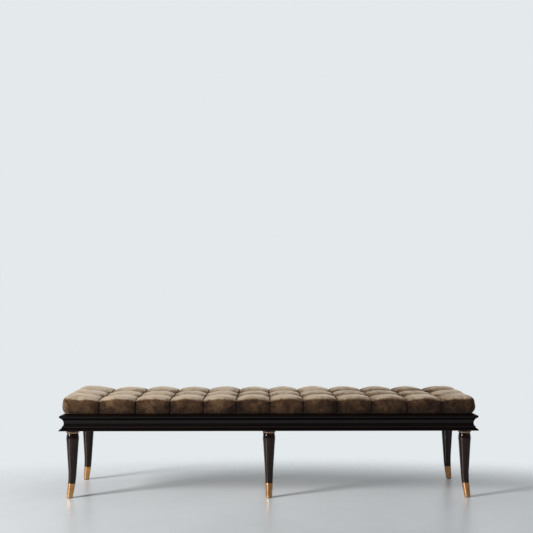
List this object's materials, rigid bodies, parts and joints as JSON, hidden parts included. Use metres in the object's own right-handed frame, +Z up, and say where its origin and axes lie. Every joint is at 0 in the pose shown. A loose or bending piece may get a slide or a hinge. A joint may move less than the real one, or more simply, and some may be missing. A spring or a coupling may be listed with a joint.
{
  "type": "upholstered bench",
  "caption": "Long low bench with a biscuit-tufted velvet cushion on a moulded dark wood frame, and turned legs that kick out at metal-capped feet.",
  "frame": {"origin": "on the floor, under the middle of the bench: the centre of the bounding box's bottom face", "axes": "+X along the bench to the right as seen from the front, -Y towards the front, +Z up"},
  "size_m": [1.8, 0.47, 0.4437],
  "materials": {
    "lacquered_rail": "gloss",
    "lacquered_leg": "gloss",
    "lacquered_boss": "gloss",
    "frame_timber": "matte",
    "plywood": "matte",
    "velvet": "matte",
    "foam": "matte",
    "dust_cloth": "matte",
    "twine": "matte",
    "champagne_ring": "satin",
    "copper_ferrule": "polished",
    "zinc_steel": "satin",
    "glide_plastic": "matte"
  },
  "bodies": {
    "root": {"back_rail": "lacquered_rail", "corner_block_back_left": "frame_timber", "corner_block_back_right": "frame_timber", "corner_block_front_left": "frame_timber", "corner_block_front_right": "frame_timber", "cross_batten_1": "frame_timber", "cross_batten_2": "frame_timber", "cross_batten_3": "frame_timber", "cross_batten_4": "frame_timber", "dust_cover": "dust_cloth", "foam_pad": "foam", "front_rail": "lacquered_rail", "left_rail": "lacquered_rail", "leg_bolts": "zinc_steel", "leg_boss_back_left": "lacquered_boss", "leg_boss_back_middle": "lacquered_boss", "leg_boss_back_right": "lacquered_boss", "leg_boss_front_left": "lacquered_boss", "leg_boss_front_middle": "lacquered_boss", "leg_boss_front_right": "lacquered_boss", "leg_ferrule_back_left": "copper_ferrule", "leg_ferrule_back_middle": "copper_ferrule", "leg_ferrule_back_right": "copper_ferrule", "leg_ferrule_front_left": "copper_ferrule", "leg_ferrule_front_middle": "copper_ferrule", "leg_ferrule_front_right": "copper_ferrule", "leg_glide_back_left": "glide_plastic", "leg_glide_back_middle": "glide_plastic", "leg_glide_back_right": "glide_plastic", "leg_glide_front_left": "glide_plastic", "leg_glide_front_middle": "glide_plastic", "leg_glide_front_right": "glide_plastic", "leg_nuts": "zinc_steel", "leg_ring_back_left": "champagne_ring", "leg_ring_back_middle": "champagne_ring", "leg_ring_back_right": "champagne_ring", "leg_ring_front_left": "champagne_ring", "leg_ring_front_middle": "champagne_ring", "leg_ring_front_right": "champagne_ring", "leg_shaft_back_left": "lacquered_leg", "leg_shaft_back_middle": "lacquered_leg", "leg_shaft_back_right": "lacquered_leg", "leg_shaft_front_left": "lacquered_leg", "leg_shaft_front_middle": "lacquered_leg", "leg_shaft_front_right": "lacquered_leg", "middle_bearer": "frame_timber", "mitre_keys": "frame_timber", "right_rail": "lacquered_rail", "seat_board": "plywood", "seat_screws": "zinc_steel", "tuft_twines": "twine", "velvet_cover": "velvet"}
  },
  "joints": []
}
